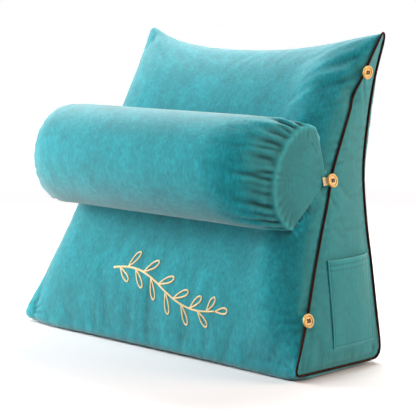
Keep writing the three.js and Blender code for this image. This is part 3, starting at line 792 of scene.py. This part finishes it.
roll = sewn_cover(
    "neck_roll",
    "roll_cover",
    lambda points: np.minimum(*(np.abs(points[:, 0] - end) for end in ROLL_ENDS.values()))
    < FLAT_END,
)
x = points_of(roll)[:, 0]
from_seam = np.minimum(*(np.abs(x - end) for end in ROLL_ENDS.values()))
held = np.clip(1 - from_seam / (4 * MM), 0, 1)
moved = stuff(roll, held, spare=0.015, pressure=4, cap=8 * MM)
points = points_of(roll) + WRINKLED * (moved - spread(moved, edges_of(roll), 40))
put_points(roll, points)
normals = normals_of(roll)
sections = ROLL_SECTIONS * MM
middle_y, middle_z, half_depth, half_height = (
    np.interp(points[:, 0], sections[:, 0], sections[:, k]) for k in (1, 2, 3, 4)
)
upward = (points[:, 2] - middle_z) / half_height
backward = (points[:, 1] - middle_y) / half_depth
angle = np.arctan2(upward, -backward)
radius = (half_depth + half_height) / 2
share = np.hypot(upward, backward)  # of the radius: 1 on the tube, less on an end panel
chance = np.random.default_rng(7)
inside = np.minimum(points[:, 0] - sections[0, 0], sections[-1, 0] - points[:, 0])
near_end = np.clip(1 - inside / CAD_GATHERS[1], 0, 1)
even = (0.5 - 0.5 * np.cos(16 * angle)) * (0.75 + 0.25 * np.sin(5 * angle + 1))
lift = SOFTENED * CAD_GATHERS[0] * eased(near_end) * even * (inside > 0)
for side, end in ROLL_ENDS.items():
    inward = -1 if side == "right" else 1
    along = (points[:, 0] - end) * inward
    on_panel = np.where(along < FLAT_END, np.clip(1 - share, 0, 1) * radius, 0)
    for k in range(GATHERS):
        place = 2 * math.pi * (k + 0.35 * chance.uniform(-1, 1)) / GATHERS
        length = chance.uniform(*GATHER_LENGTHS)
        depth = chance.uniform(*GATHER_DEPTHS) * (1 if side == "right" else LEFT_SHARE)
        width = chance.uniform(*GATHER_WIDTHS)
        start = chance.uniform(*GATHER_STARTS)
        slant = chance.uniform(*GATHER_SLANTS)
        around = (angle - place + math.pi) % (2 * math.pi) - math.pi
        way = np.clip(along / length, 0, 1)
        sideways = np.abs(around * radius - slant * along) / (width * (0.75 + 0.6 * way))
        fading = (1 - way) ** 1.2 * np.clip((along - start) / (5 * MM), 0, 1)
        fading += OVER_SEAM * np.exp(-on_panel / (9 * MM)) * np.clip(on_panel / (4 * MM), 0, 1)
        lift += depth * fading * valley(sideways, 1.9, 0.5)
    lift -= HOLLOW[0] * bell(along, *HOLLOW[1:])
    lift += SEAM_EDGE[0] * bell(along, 0, SEAM_EDGE[1])
touching = [skin_of(node) for node in ("wedge_cushion", "loop_right", "loop_left")]
points = points + normals * (lift * freedom(points, touching))[:, None]
put_points(roll, keep_clear(points, touching))
paleness = 0.2 * (np.abs(inside) < 0.7 * MM)  # the seam's pile is pale, and the hollow beside it is darkened as painted shade
crests_of(roll, paleness - 0.13 * bell(inside, 8 * MM, 11 * MM))
nap_and_warm_light_of(roll)
dress(roll, velvet)
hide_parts("neck_roll")
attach(roll, "root")


# ---------------------------------------------------------------------------
# Buttons. Six turned buttons of pale wood with a raised rim, a dished face and four holes,
# lacquered satin. One is turned and drilled, and the others are copies of it.
# ---------------------------------------------------------------------------

BUTTON_RADIUS = 10.2 * MM
BUTTON_HEIGHT = 3.4 * MM
BUTTON_EDGE = 0.75 * MM  # the radius that its edges are turned to
RIM = 2.3 * MM
DISH = 1.0 * MM
DISH_SLOPE = 0.9 * MM  # from the rim down into the dish
GROOVE = 1.3 * MM  # the darker ring where the rim meets the dish
HOLE_RADIUS = 1.15 * MM
HOLE_PLACE = 2.1 * MM

# Birch, turned and lacquered, so it is warm and satin, with grain lines 1 mm apart and 9 mm long.
# Its groove and its holes are coloured darker.
birch, places = new_finish("pale turned birch, satin lacquer")
stretch = add_node(
    birch, "ShaderNodeMapping", {"Scale": (1, 1, 0.12)}, {"Vector": (places, "Object")}
)
grain = add_node(
    birch,
    "ShaderNodeTexNoise",
    {"Scale": 900, "Detail": 4, "Roughness": 0.6},
    {"Vector": (stretch, "Vector")},
)
woods = add_node(
    birch,
    "ShaderNodeValToRGB",
    {
        "stops": [
            (0.3, linear("#CF9A40")),
            (0.5, linear("#E8BA5E")),
            (0.75, linear("#F4D07C")),
        ]
    },
    {"Fac": (grain, "Fac")},
)
turned = add_node(birch, "ShaderNodeAttribute", {"attribute_name": "turned"}, {})
# The groove and the holes are coloured darker.
darker_groove_and_holes = add_node(
    birch,
    "ShaderNodeMixRGB",
    {"blend_type": "MIX", "Color2": linear("#A5641E")},
    {"Fac": (turned, "Fac"), "Color1": (woods, "Color")},
)
bump = add_node(
    birch, "ShaderNodeBump", {"Strength": 0.2, "Distance": 0.1 * MM}, {"Height": (grain, "Fac")}
)
shader = add_node(
    birch,
    "ShaderNodeBsdfPrincipled",
    {"Roughness": 0.42, "IOR": 1.5, "Coat Weight": 0.25, "Coat Roughness": 0.3},
    {"Base Color": (darker_groove_and_holes, "Color"), "Normal": (bump, "Normal")},
)
add_node(birch, "ShaderNodeOutputMaterial", {}, {"Surface": (shader, "BSDF")})

bpy.ops.object.select_all(action="DESELECT")
bpy.ops.mesh.primitive_cylinder_add(
    vertices=48, radius=BUTTON_RADIUS, depth=BUTTON_HEIGHT, location=(0, 0, BUTTON_HEIGHT / 2)
)
blank = bpy.context.object
bpy.ops.object.transform_apply(location=True, rotation=False, scale=False)
bpy.ops.object.mode_set(mode="EDIT")
bpy.ops.mesh.select_mode(type="FACE")
bpy.ops.object.mode_set(mode="OBJECT")
edit_faces(blank, lambda normal: normal.z > 0.9)
bpy.ops.mesh.inset(thickness=RIM)
bpy.ops.mesh.inset(thickness=DISH_SLOPE, depth=-DISH)
bpy.ops.mesh.select_all(action="DESELECT")
bpy.ops.object.mode_set(mode="OBJECT")
finish_with(blank, "BEVEL", width=BUTTON_EDGE, segments=4, limit_method="ANGLE", angle_limit=0.35)

bpy.ops.object.select_all(action="DESELECT")
drill = None
for i in (-1, 1):
    for j in (-1, 1):
        bpy.ops.mesh.primitive_cylinder_add(
            vertices=20,
            radius=HOLE_RADIUS,
            depth=4 * BUTTON_HEIGHT,
            location=(i * HOLE_PLACE, j * HOLE_PLACE, 0),
        )
        hole = bpy.context.object
        if drill is None:
            drill = hole
        else:
            drill.select_set(True)
            bpy.context.view_layer.objects.active = drill
            bpy.ops.object.join()
finish_with(blank, "BOOLEAN", operation="DIFFERENCE", object=drill, solver="EXACT")
bpy.data.objects.remove(drill)
dress(blank, birch, angle=32)
points = points_of(blank)
out = np.linalg.norm(points[:, :2], axis=1)
level = BUTTON_HEIGHT - DISH
groove = (np.abs(points[:, 2] - level) < 0.5 * MM) & (np.abs(out - BUTTON_RADIUS + RIM) < GROOVE)
drilled = (out < HOLE_PLACE * 2) & (points[:, 2] < level - 0.3 * MM)
store(blank, "turned", np.maximum(0.75 * groove, drilled))


def button_place(node):
    """Where a CAD button sits: its face outwards, its holes upright, its back at the origin."""
    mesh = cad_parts[node].data
    corners = np.array([v.co for v in mesh.vertices])
    _, _, axes = np.linalg.svd(corners - corners.mean(0), full_matrices=False)
    face = Vector(axes[2])
    face *= math.copysign(1, face.x * (1 if "right" in node else -1))
    rise = (Vector((0, 0, 1)) - face * face.z).normalized()
    heights = corners @ np.array(face)
    around = [corners @ np.array(v) for v in (rise.cross(face), rise)]
    origin = face * float(heights.min())
    for axis, values in zip((rise.cross(face), rise), around):
        origin += axis * float((values.min() + values.max()) / 2)
    place = Matrix((rise.cross(face), rise, face)).transposed().to_4x4()
    place.translation = origin
    return place


for node in sorted(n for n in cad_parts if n.startswith("button_")):
    button = new_object(node.replace("button", "birch_button"), blank.data.copy())
    button.data.transform(button_place(node))
    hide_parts(node)
    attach(button, "root")
bpy.data.objects.remove(blank)


# ---------------------------------------------------------------------------
# Sewing thread. Two bars of dark brown thread through each button's holes, and the wound
# shank under it. The CAD solids have the right shape and take a twisted thread's finish.
# ---------------------------------------------------------------------------

# Spun polyester, matt, its plies twisted with a turn each half a millimetre.
thread, places = new_finish("dark brown sewing thread")
plies = add_node(
    thread,
    "ShaderNodeTexWave",
    {"Scale": 700, "Distortion": 1, "bands_direction": "DIAGONAL"},
    {"Vector": (places, "Object")},
)
browns = add_node(
    thread,
    "ShaderNodeValToRGB",
    {"stops": [(0.2, linear("#321D12")), (0.8, linear("#624028"))]},
    {"Fac": (plies, "Fac")},
)
bump = add_node(
    thread, "ShaderNodeBump", {"Strength": 0.6, "Distance": 0.15 * MM}, {"Height": (plies, "Fac")}
)
shader = add_node(
    thread,
    "ShaderNodeBsdfPrincipled",
    {"Roughness": 0.6, "Sheen Weight": 0.2},
    {"Base Color": (browns, "Color"), "Normal": (bump, "Normal")},
)
add_node(thread, "ShaderNodeOutputMaterial", {}, {"Surface": (shader, "BSDF")})
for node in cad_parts:
    if node.startswith("thread_"):
        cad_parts[node].data.materials.clear()
        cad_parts[node].data.materials.append(thread)


# ---------------------------------------------------------------------------
# Elastic loops. Flat cream braid, doubled into a loop 12 mm wide round the middle button's
# shank on each side, with its ends sewn to the tip of the neck roll.
# ---------------------------------------------------------------------------

# Braided rubber and cotton, matt. Its ribs are drawn about 1 mm apart, coarser than they are.
braid, places = new_finish("cream braided elastic")
ribs = add_node(
    braid,
    "ShaderNodeTexWave",
    {"Scale": 260, "Distortion": 0.6, "bands_direction": "Z"},
    {"Vector": (places, "Object")},
)
crossing = add_node(
    braid,
    "ShaderNodeTexWave",
    {"Scale": 330, "Distortion": 0.6, "bands_direction": "Y"},
    {"Vector": (places, "Object")},
)
weave = add_node(
    braid,
    "ShaderNodeMath",
    {"operation": "MULTIPLY"},
    {0: (ribs, "Fac"), 1: (crossing, "Fac")},
)
creams = add_node(
    braid,
    "ShaderNodeValToRGB",
    {"stops": [(0.05, linear("#E6CC96")), (0.6, linear("#FFF1CC"))]},
    {"Fac": (weave, "Value")},
)
bump = add_node(
    braid, "ShaderNodeBump", {"Strength": 0.6, "Distance": 0.3 * MM}, {"Height": (weave, "Value")}
)
shader = add_node(
    braid,
    "ShaderNodeBsdfPrincipled",
    {"Roughness": 0.65, "Sheen Weight": 0.2},
    {"Base Color": (creams, "Color"), "Normal": (bump, "Normal")},
)
add_node(braid, "ShaderNodeOutputMaterial", {}, {"Surface": (shader, "BSDF")})
for side in ("right", "left"):
    loop = copy_of_node(f"loop_{side}", f"elastic_loop_{side}")
    finish_with(loop, "BEVEL", width=0.35 * MM, segments=3, limit_method="ANGLE", angle_limit=0.6)
    dress(loop, braid, angle=30)
    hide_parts(f"loop_{side}")
    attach(loop, "root")


# ---------------------------------------------------------------------------
# Embroidered sprig. A plain leafy sprig in raised satin stitch of cream thread, low on the
# front slope. Its stem and the outlines of its leaves are lines of stitches 3 mm wide.
# ---------------------------------------------------------------------------

SPRIG_FROM = (-92, 118)  # across and up the front, in mm
SPRIG_TO = (136, 80)
SPRIG_ARCH = 12
STEM_ROWS = 60
LEAVES = 13
LEAF_ROWS = 32
LEAF_LENGTH = 30
LEAF_WIDTH = 12
LEAF_TURN = 48  # degrees from the stem, to either side in turn
LINE = 1.55  # half the width of a line of stitches
SATIN_HEIGHT = 1.1 * MM
SATIN_THICKNESS = 0.9 * MM

# Rayon, with the gloss of its long floats. These are drawn 1.2 mm apart, coarser than they are.
satin, places = new_finish("cream rayon embroidery thread")
floats = add_node(
    satin,
    "ShaderNodeTexWave",
    {"Scale": 300, "Distortion": 0.8, "bands_direction": "DIAGONAL"},
    {"Vector": (places, "Object")},
)
creams = add_node(
    satin,
    "ShaderNodeValToRGB",
    {"stops": [(0.1, linear("#C9AB6C")), (0.7, linear("#F4E0AC"))]},
    {"Fac": (floats, "Fac")},
)
bump = add_node(
    satin, "ShaderNodeBump", {"Strength": 0.5, "Distance": 0.2 * MM}, {"Height": (floats, "Fac")}
)
shader = add_node(
    satin,
    "ShaderNodeBsdfPrincipled",
    {"Roughness": 0.45, "Sheen Weight": 0.3},
    {"Base Color": (creams, "Color"), "Normal": (bump, "Normal")},
)
add_node(satin, "ShaderNodeOutputMaterial", {}, {"Surface": (shader, "BSDF")})


def on_front(across, rise, height):
    """A place on the cover's front slope, seen from the front, raised off it."""
    start = Vector((across * MM, -0.4, rise * MM))
    place, normal, _, _ = cover_skin.ray_cast(start, Vector((0, 1, 0)))
    return place + normal * height


def stem_place(t):
    """The sprig's stem at a share of its length, in mm across and up."""
    across = SPRIG_FROM[0] + (SPRIG_TO[0] - SPRIG_FROM[0]) * t
    rise = SPRIG_FROM[1] + (SPRIG_TO[1] - SPRIG_FROM[1]) * t
    return np.array([across, rise + SPRIG_ARCH * math.sin(2 * math.pi * t)])


def satin_patch(name, outline):
    """A raised satin-stitch shape: rows of (left, right) places, domed between them."""
    bpy.ops.object.select_all(action="DESELECT")
    bpy.ops.mesh.primitive_grid_add(x_subdivisions=7, y_subdivisions=len(outline) - 1)
    patch = bpy.context.object
    patch.name = name
    flat = points_of(patch)
    shaped = []
    for u, v in zip((flat[:, 0] + 1) / 2, (flat[:, 1] + 1) / 2):
        left, right = outline[round(v * (len(outline) - 1))]
        across, rise = left + (right - left) * u
        shaped.append(on_front(across, rise, SATIN_HEIGHT * (0.15 + (4 * u * (1 - u)) ** 0.5)))
    put_points(patch, np.array(shaped))
    return patch


stem = []
for i in range(STEM_ROWS + 1):
    t = i / STEM_ROWS
    run = stem_place(t + 0.01) - stem_place(t)
    side = np.array([-run[1], run[0]]) / np.linalg.norm(run)
    half = LINE * (1.25 - 0.3 * t)
    stem.append((stem_place(t) - side * half, stem_place(t) + side * half))
patches = [satin_patch("stem", stem)]
for k in range(LEAVES):
    t = 0.06 + 0.94 * k / (LEAVES - 1)
    root = stem_place(t)
    run = stem_place(t + 0.01) - root
    heading = math.atan2(run[1], run[0])
    if k < LEAVES - 1:
        heading += math.radians(LEAF_TURN) * (1 if k % 2 else -1)
    length = LEAF_LENGTH * (0.72 + 0.4 * math.sin(math.pi * (0.15 + 0.8 * t)))
    forward = np.array([math.cos(heading), math.sin(heading)])
    side = np.array([-forward[1], forward[0]])
    line = []
    for i in range(LEAF_ROWS + 1):
        turn = 2 * math.pi * i / LEAF_ROWS
        out = 0.5 * (1 - math.cos(turn))
        beside = 0.5 * math.sin(turn) * abs(math.sin(turn / 2)) ** 1.3
        line.append(root + forward * (1 + length * out) + side * LEAF_WIDTH * beside)
    outline = []
    for i, place in enumerate(line):
        run = line[min(i + 1, LEAF_ROWS)] - line[max(i - 1, 0)]
        across = np.array([-run[1], run[0]]) / np.linalg.norm(run)
        outline.append((place - across * LINE, place + across * LINE))
    patches.append(satin_patch("leaf", outline))
bpy.ops.object.select_all(action="DESELECT")
for patch in patches:
    patch.select_set(True)
bpy.context.view_layer.objects.active = patches[0]
bpy.ops.object.join()
sprig = patches[0]
sprig.name = "embroidered_sprig"
if normals_of(sprig)[:, 1].mean() > 0:
    sprig.data.flip_normals()
finish_with(sprig, "SOLIDIFY", thickness=SATIN_THICKNESS, offset=-1)
dress(sprig, satin)
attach(sprig, "root")


# ---------------------------------------------------------------------------
# Studio. A white paper floor under a bright horizon, four square lights and a broad weak one
# from overhead, and a camera at the photograph's height and angle.
# ---------------------------------------------------------------------------

# Matt white paper. The camera sees it whiter than the light that it gives back to the pillow, and
# far away it glows, so that it meets the horizon without a line.
paper, places = new_finish("white studio paper")
seen = add_node(paper, "ShaderNodeLightPath", {}, {})
tone = add_node(
    paper,
    "ShaderNodeMixRGB",
    {"Color1": linear("#B4B4B4"), "Color2": linear("#FAFBFE")},
    {"Fac": (seen, "Is Camera Ray")},
)
around = add_node(
    paper, "ShaderNodeMapping", {"Scale": (0.4, 0.4, 0.4)}, {"Vector": (places, "Object")}
)
distance = add_node(
    paper, "ShaderNodeTexGradient", {"gradient_type": "SPHERICAL"}, {"Vector": (around, "Vector")}
)
distant = add_node(
    paper,
    "ShaderNodeValToRGB",
    {"stops": [(0.0, (0.71, 0.71, 0.71, 1)), (0.45, (0, 0, 0, 1))]},
    {"Fac": (distance, "Fac")},
)
shader = add_node(
    paper,
    "ShaderNodeBsdfPrincipled",
    {"Roughness": 0.9, "Emission Color": (1, 1, 1, 1)},
    {"Base Color": (tone, "Color"), "Emission Strength": (distant, "Color")},
)
add_node(paper, "ShaderNodeOutputMaterial", {}, {"Surface": (shader, "BSDF")})
bpy.ops.mesh.primitive_plane_add(size=60)
floor = bpy.context.object
floor.name = "floor"
floor.data.materials.append(paper)

sky = bpy.data.worlds.new("studio")
sky.use_nodes = True
view = add_node(sky, "ShaderNodeTexCoord", {}, {})
height = add_node(sky, "ShaderNodeSeparateXYZ", {}, {"Vector": (view, "Generated")})
glow = add_node(
    sky,
    "ShaderNodeValToRGB",
    {"stops": [(0.0, (1, 1, 1, 1)), (0.08, (1, 1, 1, 1)), (0.2, (0.06, 0.06, 0.06, 1))]},
    {"Fac": (height, "Z")},
)
sky.node_tree.links.new(glow.outputs["Color"], sky.node_tree.nodes["Background"].inputs["Color"])
bpy.context.scene.world = sky

for name, place, size, power, tint in [  # in metres and watts
    ("window_light", (-1.3, -0.8, 0.6), 0.7, 29.5, "#FFF7F4"),
    ("front_light", (-0.5, -1.3, 1.2), 0.7, 7, "#FFFFFF"),
    ("back_light", (-0.3, 0.7, 1.4), 0.7, 27, "#FFFFFF"),
    ("fill_light", (1.6, 1.2, 0.8), 1.2, 34, "#FFE2CE"),
]:
    light = bpy.data.lights.new(name, "AREA")
    light.size = size
    light.energy = power
    light.color = linear(tint)[:3]
    lamp = new_object(name, light)
    lamp.location = place
    aim = Vector((0, 0, 0.22)) - Vector(place)  # the middle of the pillow
    lamp.rotation_euler = aim.to_track_quat("-Z", "Y").to_euler()

light = bpy.data.lights.new("ceiling_light", "SUN")
light.energy = 0.82
light.angle = math.radians(50)
lamp = new_object("ceiling_light", light)
lamp.rotation_euler = Vector((0.12, 0.45, -0.87)).to_track_quat("-Z", "Y").to_euler()

camera = new_object("camera", bpy.data.cameras.new("camera"))
camera.data.lens = 132.5
camera.data.sensor_width = 36
camera.location = (1.6748, -1.6743, 0.5244)
camera.rotation_euler = (math.radians(90 - 7.5), 0, math.radians(44.4))
bpy.context.scene.camera = camera
bpy.context.scene.view_settings.view_transform = "Standard"
